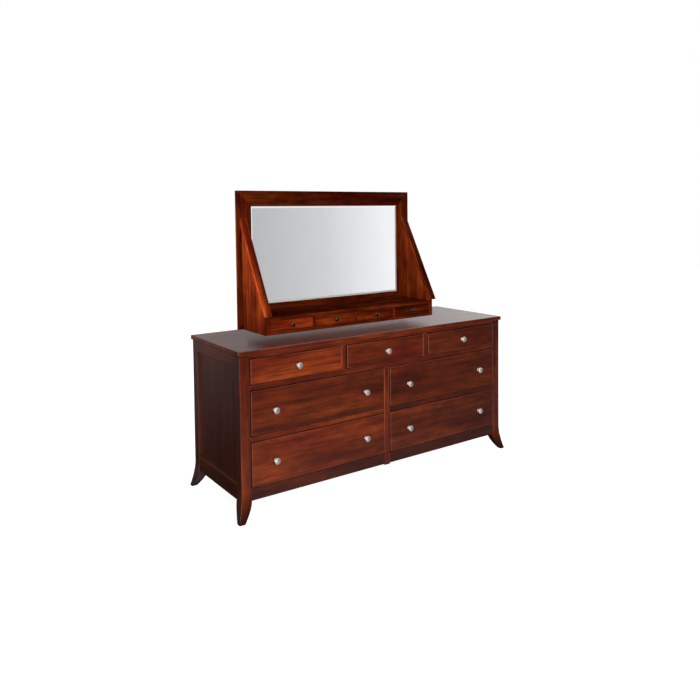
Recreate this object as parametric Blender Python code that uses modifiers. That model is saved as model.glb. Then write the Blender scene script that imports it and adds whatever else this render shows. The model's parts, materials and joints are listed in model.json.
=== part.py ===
# Double dresser with a deck mirror: seven large drawers, four small ones and sabre feet.
# Metres, +Z up, the front faces -Y, and the origin is on the floor in the middle of the footprint.

import math

import bmesh
import bpy
from mathutils import Matrix, Vector

# Case
CASE_WIDTH = 1.660
CASE_DEPTH = 0.540
CASE_HEIGHT = 0.778
FLOOR_GAP = 0.089
POST_SIDE = 0.050
POST_EASE = 0.0025

# Sabre feet
FLARE_START = 0.130
FOOT_FLARE = 0.022
FOOT_TIP = 0.028
FLARE_POWER = 1.6
FOOT_LEVELS = 8

# Top
TOP_THICKNESS = 0.022
TOP_SIDE_OVERHANG = 0.009
TOP_FRONT_OVERHANG = 0.010
TOP_BACK_OVERHANG = 0.004
TOP_EASE = 0.004

# Front frame, with the shares of the three drawer rows from the floor up
BOTTOM_RAIL_HEIGHT = 0.057
RAIL_HEIGHT = 0.025
TOP_RAIL_HEIGHT = 0.016
RAIL_DEPTH = 0.022
RAIL_SETBACK = 0.0015
RAIL_EASE = 0.0015
CENTRE_STILE = 0.034
UPPER_STILE = 0.030
STILE_DROP = 0.005
ROW_SHARES = (0.389, 0.387, 0.224)

# Side and back panels
SIDE_THICKNESS = 0.022
SIDE_RECESS = 0.014
SIDE_TOP_RAIL = 0.056
SIDE_BOTTOM_RAIL = 0.073
BACK_INSET = 0.006
BACK_THICKNESS = 0.018
BACK_RECESS = 0.012
BACK_RAIL = 0.060

# Web frames that carry the drawers
WEB_THICKNESS = 0.018
DUST_PANEL = 0.005
WEB_MEMBER = 0.055
GUIDE_HEIGHT = 0.014
GUIDE_INSET = 0.002

# Drawers
FRONT_THICKNESS = 0.020
FRONT_PROUD = 0.004
FRONT_GAP = 0.0025
FRONT_EASE = 0.005
BOX_WALL = 0.012
BOX_BOTTOM = 0.006
BOX_BOTTOM_RISE = 0.010
BOX_SIDE_CLEARANCE = 0.0015
BOX_TOP_CLEARANCE = 0.012
BOX_BACK_CLEARANCE = 0.020

# Knobs of the large drawers: the spread is a share of the drawer's opening
KNOB_RADIUS = 0.016
KNOB_LENGTH = 0.026
KNOB_HEAD = 0.013
KNOB_DOME = 0.008
KNOB_STEM_RADIUS = 0.006
KNOB_ROSE_RADIUS = 0.0095
KNOB_ROSE_THICKNESS = 0.003
KNOB_SPREAD_SHARE = 0.338
KNOB_STEPS = 16
KNOB_ARC_POINTS = 4

# Mirror
MIRROR_WIDTH = 1.160
MIRROR_HEIGHT = 0.735
MIRROR_FACE = 0.083
MIRROR_FOOT_RAIL = 0.124
MIRROR_THICKNESS = 0.022
MIRROR_BACK_INSET = 0.002
MIRROR_EASE = 0.002
RABBET = 0.008
GLASS_EDGE = 0.0035
GLASS_RISE = 0.0015
GLASS_BEVEL = 0.014
MIRROR_BACKING = 0.004

# Deck under the mirror, its side boards and their sloping caps
DECK_INSET = 0.0245
DECK_DEPTH = 0.250
DECK_HEIGHT = 0.089
DECK_BOARD = 0.017
DECK_DIVIDER = 0.014
DECK_SIDE_THICKNESS = 0.020
DECK_EASE = 0.0015
WING_LIP = 0.008
WING_TOP_SHARE = 0.75
CAP_WIDTH = 0.040
CAP_THICKNESS = 0.020
CAP_EASE = 0.002

# Deck drawers and their knobs
DECK_DRAWERS = 4
DECK_FRONT_THICKNESS = 0.014
DECK_FRONT_PROUD = 0.002
DECK_FRONT_GAP = 0.002
DECK_FRONT_EASE = 0.002
DECK_BOX_WALL = 0.008
DECK_BOX_BOTTOM = 0.005
DECK_BOX_CLEARANCE = 0.0012
DECK_BOX_TOP_CLEARANCE = 0.006
DECK_BOX_BACK_CLEARANCE = 0.010
DECK_KNOB_SHARE = 0.72
DECK_KNOB_STEPS = 14

# Gap between pieces that touch, and how far a cutter passes the faces that it cuts
SEAT = 0.0003
OVERRUN = 0.004

# Places that follow from the sizes above
HALF_WIDTH = CASE_WIDTH / 2
INNER_WIDTH = HALF_WIDTH - POST_SIDE
KNOB_REACH = FRONT_PROUD + SEAT + KNOB_LENGTH
FRONT_REACH = max(FOOT_FLARE, KNOB_REACH, TOP_FRONT_OVERHANG)
BACK_REACH = max(FOOT_FLARE, TOP_BACK_OVERHANG)
CENTRE_Y = (FRONT_REACH - BACK_REACH) / 2
FRONT_Y = CENTRE_Y - CASE_DEPTH / 2
BACK_Y = CENTRE_Y + CASE_DEPTH / 2
TOP_Z = CASE_HEIGHT - TOP_THICKNESS
RAIL_FRONT_Y = FRONT_Y + RAIL_SETBACK
RAIL_BACK_Y = RAIL_FRONT_Y + RAIL_DEPTH
BACK_PANEL_FRONT_Y = BACK_Y - BACK_INSET - BACK_THICKNESS
SIDE_INNER_X = HALF_WIDTH - RAIL_SETBACK - SIDE_THICKNESS
BOTTOM_OPENING_Z = FLOOR_GAP + BOTTOM_RAIL_HEIGHT
ROWS_HEIGHT = TOP_Z - TOP_RAIL_HEIGHT - 2 * RAIL_HEIGHT - BOTTOM_OPENING_Z
DECK_Z = CASE_HEIGHT + SEAT
MIRROR_BACK_Y = BACK_Y + TOP_BACK_OVERHANG - MIRROR_BACK_INSET
MIRROR_FRONT_Y = MIRROR_BACK_Y - MIRROR_THICKNESS
DECK_FRONT_Y = MIRROR_FRONT_Y - DECK_DEPTH
DECK_HALF = MIRROR_WIDTH / 2 - DECK_INSET
RABBET_DEPTH = GLASS_EDGE + MIRROR_BACKING + 2 * SEAT


def clear_scene():
    for item in list(bpy.data.objects):
        bpy.data.objects.remove(item, do_unlink=True)


def make_collection(name):
    group = bpy.data.collections.new(name)
    bpy.context.scene.collection.children.link(group)
    return group


def make_material(name, colour, roughness, metallic):
    finish = bpy.data.materials.new(name)
    finish.use_nodes = True
    shader = finish.node_tree.nodes["Principled BSDF"]
    shader.inputs["Base Color"].default_value = (*colour, 1.0)
    shader.inputs["Roughness"].default_value = roughness
    shader.inputs["Metallic"].default_value = metallic
    return finish


def stained_cherry():
    return make_material("stained_cherry", (0.105, 0.022, 0.012), 0.30, 0.0)


def drawer_maple():
    return make_material("drawer_maple", (0.62, 0.44, 0.26), 0.55, 0.0)


def panel_plywood():
    return make_material("panel_plywood", (0.30, 0.15, 0.08), 0.60, 0.0)


def satin_nickel():
    return make_material("satin_nickel", (0.56, 0.53, 0.49), 0.32, 1.0)


def dark_pewter():
    return make_material("dark_pewter", (0.16, 0.15, 0.14), 0.28, 1.0)


def silvered_glass():
    return make_material("silvered_glass", (0.85, 0.87, 0.87), 0.02, 1.0)


def hang_on(part, parent, place):
    """Puts a part at a place in the room, under its parent if it has one."""
    part.location = place
    if parent:
        part.parent = parent
        part.location = Vector(place) - parent.location


def box_mesh(name, size):
    mesh = bpy.data.meshes.new(name)
    shape = bmesh.new()
    bmesh.ops.create_cube(shape, size=1.0, matrix=Matrix.Diagonal((*size, 1.0)))
    shape.to_mesh(mesh)
    shape.free()
    return mesh


def add_box(name, low, high, finish, parent=None):
    low, high = Vector(low), Vector(high)
    part = bpy.data.objects.new(name, box_mesh(name, high - low))
    part.data.materials.append(finish)
    parts.objects.link(part)
    hang_on(part, parent, (low + high) / 2)
    return part


def add_cutter(name, low, high):
    low, high = Vector(low), Vector(high)
    cutter = bpy.data.objects.new(name, box_mesh(name, high - low))
    cutter.location = (low + high) / 2
    cutter.display_type = "WIRE"
    cutter.hide_render = True
    cutters.objects.link(cutter)
    return cutter


def combine(part, operation, name, low, high):
    step = part.modifiers.new(name, "BOOLEAN")
    step.operation = operation
    step.solver = "EXACT"
    step.object = add_cutter(f"{part.name}_{name}", low, high)


def cut_box(part, name, low, high):
    combine(part, "DIFFERENCE", name, low, high)


def join_box(part, name, low, high):
    combine(part, "UNION", name, low, high)


def ease_edges(part, width, segments=1):
    bevel = part.modifiers.new("eased_edges", "BEVEL")
    bevel.width = width
    bevel.segments = segments
    bevel.limit_method = "ANGLE"
    bevel.angle_limit = math.radians(40)


def outline_part(name, points, thickness, turn, place, finish):
    """A flat outline in the part's own XY plane, made solid by its thickness along Z."""
    curve = bpy.data.curves.new(name, "CURVE")
    curve.dimensions = "2D"
    curve.fill_mode = "BOTH"
    curve.extrude = thickness / 2
    spline = curve.splines.new("POLY")
    spline.points.add(len(points) - 1)
    for point, (x, y) in zip(spline.points, points):
        point.co = (x, y, 0.0, 1.0)
    spline.use_cyclic_u = True
    flat = bpy.data.objects.new(name, curve)
    flat.rotation_euler = turn
    flat.location = place
    parts.objects.link(flat)
    bpy.context.view_layer.update()
    seen = flat.evaluated_get(bpy.context.evaluated_depsgraph_get())
    mesh = bpy.data.meshes.new_from_object(seen)
    shape = bmesh.new()
    shape.from_mesh(mesh)
    bmesh.ops.remove_doubles(shape, verts=shape.verts, dist=SEAT / 10)
    shape.to_mesh(mesh)
    shape.free()
    part = bpy.data.objects.new(name, mesh)
    part.matrix_world = flat.matrix_world
    bpy.data.objects.remove(flat, do_unlink=True)
    part.name = name
    part.data.materials.clear()
    part.data.materials.append(finish)
    parts.objects.link(part)
    return part


def turned_mesh(name, profile, steps):
    """A profile of (radius, height) pairs, from the top down the outer side, turned about Z."""
    mesh = bpy.data.meshes.new(name)
    points = [(radius, 0.0, height) for radius, height in profile]
    mesh.from_pydata(points, [(i, i + 1) for i in range(len(points) - 1)], [])
    part = bpy.data.objects.new(name, mesh)
    screw = part.modifiers.new("turned", "SCREW")
    screw.steps = steps
    screw.render_steps = steps
    screw.use_smooth_shade = True
    screw.use_merge_vertices = True
    screw.merge_threshold = SEAT / 10
    parts.objects.link(part)
    return part


def row_levels():
    """Bottom and top of each row of drawer openings, from the floor up."""
    levels = []
    bottom = BOTTOM_OPENING_Z
    for share in ROW_SHARES:
        top = bottom + ROWS_HEIGHT * share
        levels.append((bottom, top))
        bottom = top + RAIL_HEIGHT
    return levels


def split_width(left, right, count, divider):
    """Equal openings between left and right, with a divider between neighbours."""
    width = (right - left - (count - 1) * divider) / count
    return [(left + i * (width + divider), left + i * (width + divider) + width) for i in range(count)]


def foot_outer(z):
    """How far the post's outer faces stand out at a height."""
    if z >= FLARE_START:
        return 0.0
    return FOOT_FLARE * ((FLARE_START - z) / FLARE_START) ** FLARE_POWER


def foot_inner(z):
    """How far the post's inner faces are drawn outwards at a height."""
    if z >= FLOOR_GAP:
        return 0.0
    return (FOOT_FLARE + POST_SIDE - FOOT_TIP) * ((FLOOR_GAP - z) / FLOOR_GAP) ** FLARE_POWER


def add_post(name, side, end, finish):
    """A square post whose foot flares outwards: side is -1 or 1 along X, end is -1 or 1 along Y."""
    height = TOP_Z - SEAT
    outer = Vector((side * HALF_WIDTH, FRONT_Y if end < 0 else BACK_Y, 0.0))
    shape = bmesh.new()
    stretch = Matrix.Diagonal((POST_SIDE, POST_SIDE, height, 1.0))
    centre = Matrix.Translation((-side * POST_SIDE / 2, -end * POST_SIDE / 2, height / 2))
    bmesh.ops.create_cube(shape, size=1.0, matrix=centre @ stretch)
    corners = [edge for edge in shape.edges if edge.calc_length() > POST_SIDE + SEAT]
    bmesh.ops.bevel(shape, geom=corners, offset=POST_EASE, segments=2, profile=0.5, affect="EDGES")
    levels = [FLOOR_GAP * i / FOOT_LEVELS for i in range(1, FOOT_LEVELS + 1)]
    levels += [(FLOOR_GAP + FLARE_START) / 2, FLARE_START]
    for level in levels:
        everything = shape.verts[:] + shape.edges[:] + shape.faces[:]
        bmesh.ops.bisect_plane(shape, geom=everything, plane_co=(0, 0, level), plane_no=(0, 0, 1))
    for vert in shape.verts:
        out = foot_outer(vert.co.z)
        drawn = foot_inner(vert.co.z)
        vert.co.x += side * (out if abs(vert.co.x) < POST_SIDE / 2 else drawn)
        vert.co.y += end * (out if abs(vert.co.y) < POST_SIDE / 2 else drawn)
    mesh = bpy.data.meshes.new(name)
    shape.to_mesh(mesh)
    shape.free()
    post = bpy.data.objects.new(name, mesh)
    post.data.materials.append(finish)
    post.location = outer
    parts.objects.link(post)


def add_top(finish):
    low = (-HALF_WIDTH - TOP_SIDE_OVERHANG, FRONT_Y - TOP_FRONT_OVERHANG, TOP_Z)
    high = (HALF_WIDTH + TOP_SIDE_OVERHANG, BACK_Y + TOP_BACK_OVERHANG, CASE_HEIGHT)
    top = add_box("top_slab", low, high, finish)
    ease_edges(top, TOP_EASE, 2)


def add_side_panel(name, side, finish):
    """Top and bottom rails with a recessed flat panel, glued up as one piece between the posts."""
    outer = HALF_WIDTH - RAIL_SETBACK
    reach = BACK_Y - POST_SIDE - SEAT
    front = FRONT_Y + POST_SIDE + SEAT
    x0, x1 = sorted((side * outer, side * SIDE_INNER_X))
    panel = add_box(name, (x0, front, FLOOR_GAP), (x1, reach, TOP_Z - SEAT), finish)
    x0, x1 = sorted((side * (HALF_WIDTH - SIDE_RECESS), side * (HALF_WIDTH + OVERRUN)))
    low = (x0, front - OVERRUN, FLOOR_GAP + SIDE_BOTTOM_RAIL)
    high = (x1, reach + OVERRUN, TOP_Z - SIDE_TOP_RAIL)
    cut_box(panel, "recess", low, high)
    ease_edges(panel, RAIL_EASE)


def add_back_panel(finish):
    x = INNER_WIDTH - SEAT
    back = BACK_Y - BACK_INSET
    low = (-x, BACK_PANEL_FRONT_Y, FLOOR_GAP)
    panel = add_box("back_panel", low, (x, back, TOP_Z - SEAT), finish)
    low = (-x - OVERRUN, back - BACK_RECESS, FLOOR_GAP + BACK_RAIL)
    high = (x + OVERRUN, back + OVERRUN, TOP_Z - BACK_RAIL)
    cut_box(panel, "recess", low, high)


def add_rail(name, x0, x1, z0, z1, finish):
    rail = add_box(name, (x0, RAIL_FRONT_Y, z0), (x1, RAIL_BACK_Y, z1), finish)
    ease_edges(rail, RAIL_EASE)
    return rail


def add_stile(name, x, width, z0, z1, finish):
    low = (x - width / 2, FRONT_Y, z0)
    stile = add_box(name, low, (x + width / 2, RAIL_BACK_Y, z1), finish)
    ease_edges(stile, RAIL_EASE)


def add_bottom_rail(finish):
    """The rail under the lowest drawers, with the foot of the centre stile let into it."""
    x = INNER_WIDTH - SEAT
    rail = add_rail("bottom_rail", -x, x, FLOOR_GAP, BOTTOM_OPENING_Z, finish)
    low = (-CENTRE_STILE / 2, FRONT_Y, FLOOR_GAP - STILE_DROP)
    join_box(rail, "stile_foot", low, (CENTRE_STILE / 2, RAIL_BACK_Y - RAIL_EASE, BOTTOM_OPENING_Z))


def add_front_frame(finish):
    lower, middle, upper = row_levels()
    x = INNER_WIDTH - SEAT
    half_stile = CENTRE_STILE / 2 + SEAT
    add_bottom_rail(finish)
    add_rail("middle_rail_left", -x, -half_stile, lower[1], middle[0], finish)
    add_rail("middle_rail_right", half_stile, x, lower[1], middle[0], finish)
    add_rail("upper_rail", -x, x, middle[1], upper[0], finish)
    add_rail("top_rail", -x, x, upper[1], TOP_Z - SEAT, finish)
    add_stile("centre_stile", 0.0, CENTRE_STILE, lower[0] + SEAT, middle[1] - SEAT, finish)
    bays = split_width(-INNER_WIDTH, INNER_WIDTH, 3, UPPER_STILE)
    for name, bay in zip(("left", "right"), bays):
        x = bay[1] + UPPER_STILE / 2
        add_stile(f"upper_stile_{name}", x, UPPER_STILE, upper[0] + SEAT, upper[1] - SEAT, finish)


def add_web_frame(name, top, bays, finish):
    """A frame with dust panels that the drawers run on, and a guide strip beside each of them."""
    y0 = RAIL_BACK_Y + SEAT
    y1 = BACK_PANEL_FRONT_Y - SEAT
    inner = INNER_WIDTH - SEAT
    outer = SIDE_INNER_X - SEAT
    post_front = FRONT_Y + POST_SIDE + SEAT
    post_back = BACK_Y - POST_SIDE - SEAT
    under = top - WEB_THICKNESS
    web = add_box(name, (-outer, y0, under), (outer, y1, top), finish)
    for end, notch_y in (("front", (y0 - OVERRUN, post_front)), ("rear", (post_back, y1 + OVERRUN))):
        for side, notch_x in (("left", (-outer - OVERRUN, -inner)), ("right", (inner, outer + OVERRUN))):
            low = (notch_x[0], notch_y[0], under - OVERRUN)
            cut_box(web, f"notch_{end}_{side}", low, (notch_x[1], notch_y[1], top + OVERRUN))
    for i, (left, right) in enumerate(bays):
        low = (left + WEB_MEMBER, y0 + WEB_MEMBER, under - OVERRUN)
        high = (right - WEB_MEMBER, y1 - WEB_MEMBER, top - DUST_PANEL)
        cut_box(web, f"pocket_{i + 1}", low, high)
    edges = [-outer + GUIDE_INSET] + [x for bay in bays for x in bay] + [outer - GUIDE_INSET]
    for i in range(len(bays) + 1):
        low = (edges[2 * i], post_front + GUIDE_INSET, top - DUST_PANEL)
        high = (edges[2 * i + 1], post_back - GUIDE_INSET, top + GUIDE_HEIGHT)
        join_box(web, f"guide_{i + 1}", low, high)


def knob_profile(scale):
    """Radius and height pairs of a mushroom knob on a small rose, from the middle of its dome."""
    radius = KNOB_RADIUS * scale
    stem = KNOB_STEM_RADIUS * scale
    length = KNOB_LENGTH * scale
    rim = length - KNOB_DOME * scale
    neck = length - KNOB_HEAD * scale
    quarter = [i * math.pi / 2 / KNOB_ARC_POINTS for i in range(KNOB_ARC_POINTS + 1)]
    dome = [(radius * math.sin(a), rim + (length - rim) * math.cos(a)) for a in quarter]
    under = [(stem + (radius - stem) * math.cos(a), rim - (rim - neck) * math.sin(a)) for a in quarter[1:]]
    rose = KNOB_ROSE_THICKNESS * scale
    rose_radius = KNOB_ROSE_RADIUS * scale
    foot = [(stem, rose), (rose_radius, rose), (rose_radius, 0.0), (0.0, 0.0)]
    return dome + under + foot


def add_knob(name, place, scale, steps, parent, finish):
    knob = turned_mesh(name, knob_profile(scale), steps)
    knob.data.materials.append(finish)
    knob.rotation_euler = (math.pi / 2, 0.0, 0.0)
    hang_on(knob, parent, place)


def add_slide(name, place):
    """An empty on the drawer's line of travel, which its pieces hang on."""
    slide = bpy.data.objects.new(name, None)
    slide.location = place
    slide.empty_display_size = KNOB_LENGTH
    parts.objects.link(slide)
    return slide


def add_drawer(name, bay, level, knobs, wood, inside, metal):
    (x0, x1), (z0, z1) = bay, level
    middle = Vector(((x0 + x1) / 2, FRONT_Y - FRONT_PROUD, (z0 + z1) / 2))
    slide = add_slide(f"slide_{name}", middle)
    back = middle.y + FRONT_THICKNESS
    low = (x0 + FRONT_GAP, middle.y, z0 + FRONT_GAP)
    high = (x1 - FRONT_GAP, back, z1 - FRONT_GAP)
    front = add_box(f"drawer_front_{name}", low, high, wood, slide)
    ease_edges(front, FRONT_EASE, 2)
    low = Vector((x0 + BOX_SIDE_CLEARANCE, back + SEAT, z0 + SEAT))
    high = Vector((x1 - BOX_SIDE_CLEARANCE, BACK_PANEL_FRONT_Y - BOX_BACK_CLEARANCE, z1 - BOX_TOP_CLEARANCE))
    box = add_box(f"drawer_box_{name}", low, high, inside, slide)
    hollow_box(box, low, high, BOX_WALL, BOX_BOTTOM_RISE, BOX_BOTTOM)
    spread = [0.0] if knobs == 1 else [-KNOB_SPREAD_SHARE, KNOB_SPREAD_SHARE]
    for i, share in enumerate(spread):
        place = (middle.x + share * (x1 - x0), middle.y - SEAT, middle.z)
        label = f"knob_{name}" if knobs == 1 else f"knob_{name}_{i + 1}"
        add_knob(label, place, 1.0, KNOB_STEPS, slide, metal)


def hollow_box(box, low, high, wall, rise, bottom):
    """Opens a box at its top, and under its bottom panel, which stands a rise above its edges."""
    floor = low.z + rise
    inner_low = (low.x + wall, low.y + wall, floor + bottom)
    cut_box(box, "inside", inner_low, (high.x - wall, high.y - wall, high.z + OVERRUN))
    if rise > 0:
        under_low = (low.x + wall, low.y + wall, low.z - OVERRUN)
        cut_box(box, "underside", under_low, (high.x - wall, high.y - wall, floor))


def add_case_drawers(wood, inside, metal):
    lower, middle, upper = row_levels()
    wide = split_width(-INNER_WIDTH, INNER_WIDTH, 2, CENTRE_STILE)
    narrow = split_width(-INNER_WIDTH, INNER_WIDTH, 3, UPPER_STILE)
    rows = [
        ("upper", upper, narrow, ("left", "centre", "right"), 1),
        ("middle", middle, wide, ("left", "right"), 2),
        ("lower", lower, wide, ("left", "right"), 2),
    ]
    for row, level, bays, places, knobs in rows:
        add_web_frame(f"{row}_web_frame", level[0], bays, inside)
        for place, bay in zip(places, bays):
            add_drawer(f"{row}_{place}", bay, level, knobs, wood, inside, metal)


def add_mirror(wood, backing, glass):
    half = MIRROR_WIDTH / 2
    top = DECK_Z + MIRROR_HEIGHT
    low = (-half, MIRROR_FRONT_Y, DECK_Z)
    frame = add_box("mirror_frame", low, (half, MIRROR_BACK_Y, top), wood)
    ease_edges(frame, MIRROR_EASE)
    opening = half - MIRROR_FACE
    z0 = DECK_Z + MIRROR_FOOT_RAIL
    z1 = top - MIRROR_FACE
    low = (-opening, MIRROR_FRONT_Y - OVERRUN, z0)
    cut_box(frame, "opening", low, (opening, MIRROR_BACK_Y + OVERRUN, z1))
    lip = MIRROR_BACK_Y - RABBET_DEPTH
    low = (-opening - RABBET, lip, z0 - RABBET)
    high = (opening + RABBET, MIRROR_BACK_Y + OVERRUN, z1 + RABBET)
    cut_box(frame, "rabbet", low, high)
    reach = opening + RABBET - SEAT
    glass_low = Vector((-reach, lip + SEAT, z0 - RABBET + SEAT))
    glass_high = Vector((reach, lip + SEAT + GLASS_EDGE, z1 + RABBET - SEAT))
    add_glass(glass_low, glass_high, glass)
    low = (-reach, glass_high.y + SEAT, glass_low.z)
    add_box("mirror_backing", low, (reach, MIRROR_BACK_Y, glass_high.z), backing)


def add_glass(low, high, finish):
    """A plate whose front is raised inside a wide, shallow bevel that starts at the frame's edge."""
    plate = add_box("mirror_glass", low, high, finish)
    shape = bmesh.new()
    shape.from_mesh(plate.data)
    shape.faces.ensure_lookup_table()
    front = min(shape.faces, key=lambda face: face.calc_center_median().y)
    for width in (RABBET, GLASS_BEVEL):
        bmesh.ops.inset_region(shape, faces=[front], thickness=width, use_even_offset=True)
    bmesh.ops.translate(shape, verts=front.verts, vec=(0.0, -GLASS_RISE, 0.0))
    shape.to_mesh(plate.data)
    shape.free()


def add_deck_case(finish):
    """Base, shelf and dividers, glued up as one piece between the side boards."""
    x = DECK_HALF - DECK_SIDE_THICKNESS - SEAT
    back = MIRROR_FRONT_Y - SEAT
    case = add_box("deck_case", (-x, DECK_FRONT_Y, DECK_Z), (x, back, DECK_Z + DECK_HEIGHT), finish)
    for i, (left, right) in enumerate(deck_bays()):
        low = (left, DECK_FRONT_Y - OVERRUN, DECK_Z + DECK_BOARD)
        high = (right, back + OVERRUN, DECK_Z + DECK_HEIGHT - DECK_BOARD)
        cut_box(case, f"cell_{i + 1}", low, high)


def deck_bays():
    x = DECK_HALF - DECK_SIDE_THICKNESS - DECK_DIVIDER / 2
    return split_width(-x, x, DECK_DRAWERS, DECK_DIVIDER)


def wing_line():
    """The sloping edge of a side board, from the deck's front up to the mirror's frame, as (y, z) pairs."""
    foot = (DECK_FRONT_Y, DECK_Z + DECK_HEIGHT + WING_LIP)
    head = (MIRROR_FRONT_Y - SEAT, DECK_Z + MIRROR_HEIGHT * WING_TOP_SHARE)
    return foot, head


def add_deck_side(name, side, finish):
    foot, head = wing_line()
    points = [(foot[0], DECK_Z), (head[0], DECK_Z), head, foot]
    place = (side * (DECK_HALF - DECK_SIDE_THICKNESS / 2), 0.0, 0.0)
    turn = (math.pi / 2, 0.0, math.pi / 2)
    board = outline_part(name, points, DECK_SIDE_THICKNESS, turn, place, finish)
    ease_edges(board, DECK_EASE)


def add_wing_cap(name, side, finish):
    """A strip along a side board's sloping edge, level at its foot and upright at the mirror."""
    foot, head = wing_line()
    run = (head[0] - foot[0]) / (head[1] - foot[1])
    lean = math.cos(math.atan(run))
    near = SEAT / lean
    far = (SEAT + CAP_THICKNESS) / lean
    points = [(foot[0] - near, foot[1]), (head[0], foot[1] + (head[0] - foot[0] + near) / run)]
    points += [(head[0], foot[1] + (head[0] - foot[0] + far) / run), (foot[0] - far, foot[1])]
    place = (side * (DECK_HALF - DECK_SIDE_THICKNESS / 2), 0.0, 0.0)
    turn = (math.pi / 2, 0.0, math.pi / 2)
    cap = outline_part(name, points, CAP_WIDTH, turn, place, finish)
    ease_edges(cap, CAP_EASE)


def add_deck_drawer(number, bay, wood, metal):
    """A small drawer glued up as one piece: its front, and the tray behind it."""
    x0, x1 = bay
    z0 = DECK_Z + DECK_BOARD
    z1 = DECK_Z + DECK_HEIGHT - DECK_BOARD
    middle = Vector(((x0 + x1) / 2, DECK_FRONT_Y - DECK_FRONT_PROUD, (z0 + z1) / 2))
    slide = add_slide(f"slide_deck_{number}", middle)
    back = middle.y + DECK_FRONT_THICKNESS
    low = (x0 + DECK_FRONT_GAP, middle.y, z0 + DECK_FRONT_GAP)
    high = (x1 - DECK_FRONT_GAP, back, z1 - DECK_FRONT_GAP)
    drawer = add_box(f"deck_drawer_{number}", low, high, wood, slide)
    ease_edges(drawer, DECK_FRONT_EASE, 2)
    tray_x = x1 - x0 - 2 * DECK_BOX_CLEARANCE
    low = Vector((middle.x - tray_x / 2, back - DECK_BOX_WALL, z0 + SEAT))
    rear = MIRROR_FRONT_Y - DECK_BOX_BACK_CLEARANCE
    high = Vector((middle.x + tray_x / 2, rear, z1 - DECK_BOX_TOP_CLEARANCE))
    join_box(drawer, "tray", low, high)
    hollow_box(drawer, low, high, DECK_BOX_WALL, 0.0, DECK_BOX_BOTTOM)
    place = (middle.x, middle.y - SEAT, middle.z)
    add_knob(f"deck_knob_{number}", place, DECK_KNOB_SHARE, DECK_KNOB_STEPS, slide, metal)


clear_scene()
parts = make_collection("double_dresser")
cutters = make_collection("cutters")

cherry = stained_cherry()
maple = drawer_maple()
plywood = panel_plywood()
nickel = satin_nickel()
pewter = dark_pewter()
silvered = silvered_glass()

for end_name, end_sign in (("front", -1), ("rear", 1)):
    for side_name, side_sign in (("left", -1), ("right", 1)):
        add_post(f"post_{end_name}_{side_name}", side_sign, end_sign, cherry)
for side_name, side_sign in (("left", -1), ("right", 1)):
    add_side_panel(f"side_panel_{side_name}", side_sign, cherry)
    add_deck_side(f"deck_side_{side_name}", side_sign, cherry)
    add_wing_cap(f"wing_cap_{side_name}", side_sign, cherry)
add_back_panel(plywood)
add_front_frame(cherry)
add_top(cherry)
add_case_drawers(cherry, maple, nickel)
add_mirror(cherry, plywood, silvered)
add_deck_case(cherry)
for deck_number, deck_bay in enumerate(deck_bays(), start=1):
    add_deck_drawer(deck_number, deck_bay, cherry, pewter)
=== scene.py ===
# Double dresser with a deck mirror: fine shapes, finishes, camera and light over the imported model.
# Sizes are in metres where no note says otherwise.

import json
import math
import random

import bmesh
import bpy
from mathutils import Matrix, Vector

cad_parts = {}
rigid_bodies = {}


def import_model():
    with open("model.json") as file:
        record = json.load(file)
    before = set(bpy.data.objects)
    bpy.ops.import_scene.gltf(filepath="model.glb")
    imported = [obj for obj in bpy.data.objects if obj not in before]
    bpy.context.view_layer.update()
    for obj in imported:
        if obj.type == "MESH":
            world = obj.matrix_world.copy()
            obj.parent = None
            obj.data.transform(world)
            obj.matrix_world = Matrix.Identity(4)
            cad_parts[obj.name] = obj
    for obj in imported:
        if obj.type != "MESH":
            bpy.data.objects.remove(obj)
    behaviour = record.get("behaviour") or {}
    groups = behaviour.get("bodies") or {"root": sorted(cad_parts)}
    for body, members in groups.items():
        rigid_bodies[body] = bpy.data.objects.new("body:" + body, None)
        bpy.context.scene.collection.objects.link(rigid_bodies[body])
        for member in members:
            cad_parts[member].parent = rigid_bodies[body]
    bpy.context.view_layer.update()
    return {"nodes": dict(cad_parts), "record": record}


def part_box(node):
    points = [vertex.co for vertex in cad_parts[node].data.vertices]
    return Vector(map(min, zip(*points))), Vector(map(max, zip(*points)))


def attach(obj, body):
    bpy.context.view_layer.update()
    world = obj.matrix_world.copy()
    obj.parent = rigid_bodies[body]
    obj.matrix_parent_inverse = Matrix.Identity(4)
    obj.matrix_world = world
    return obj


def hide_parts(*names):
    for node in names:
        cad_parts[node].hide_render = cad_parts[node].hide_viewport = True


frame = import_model()
record = frame["record"]
nodeBody = {node: body for body, nodes in record["behaviour"]["bodies"].items() for node in nodes}
dice = random.Random(23)
axisX = Vector((1, 0, 0))
axisY = Vector((0, 1, 0))
axisZ = Vector((0, 0, 1))
drawerNames = ["upper_left", "upper_centre", "upper_right",
               "middle_left", "middle_right", "lower_left", "lower_right"]


# Node helpers

def toLinear(code):  # sRGB hex to the linear colour that a shader wants
    channels = [int(code[i:i + 2], 16) / 255 for i in (1, 3, 5)]
    linear = [c / 12.92 if c <= 0.04045 else ((c + 0.055) / 1.055) ** 2.4 for c in channels]
    return (*linear, 1.0)


def addNode(tree, kind, settings=None, feeds=None):  # one node, its settings and what goes into its sockets
    node = tree.nodes.new(kind)
    for name, value in (settings or {}).items():
        setattr(node, name, value)
    for name, value in (feeds or {}).items():
        if isinstance(value, bpy.types.NodeSocket):
            tree.links.new(value, node.inputs[name])
        else:
            node.inputs[name].default_value = value
    return node


# Settings that many nodes share
times, plus, minus = ({"operation": word} for word in ("MULTIPLY", "ADD", "SUBTRACT"))
multiplyAdd = {"operation": "MULTIPLY_ADD"}
scaled = {"operation": "SCALE"}
divided = {"operation": "DIVIDE"}
colourMix = {"data_type": "RGBA"}
smooth = {"interpolation_type": "SMOOTHSTEP"}


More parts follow.
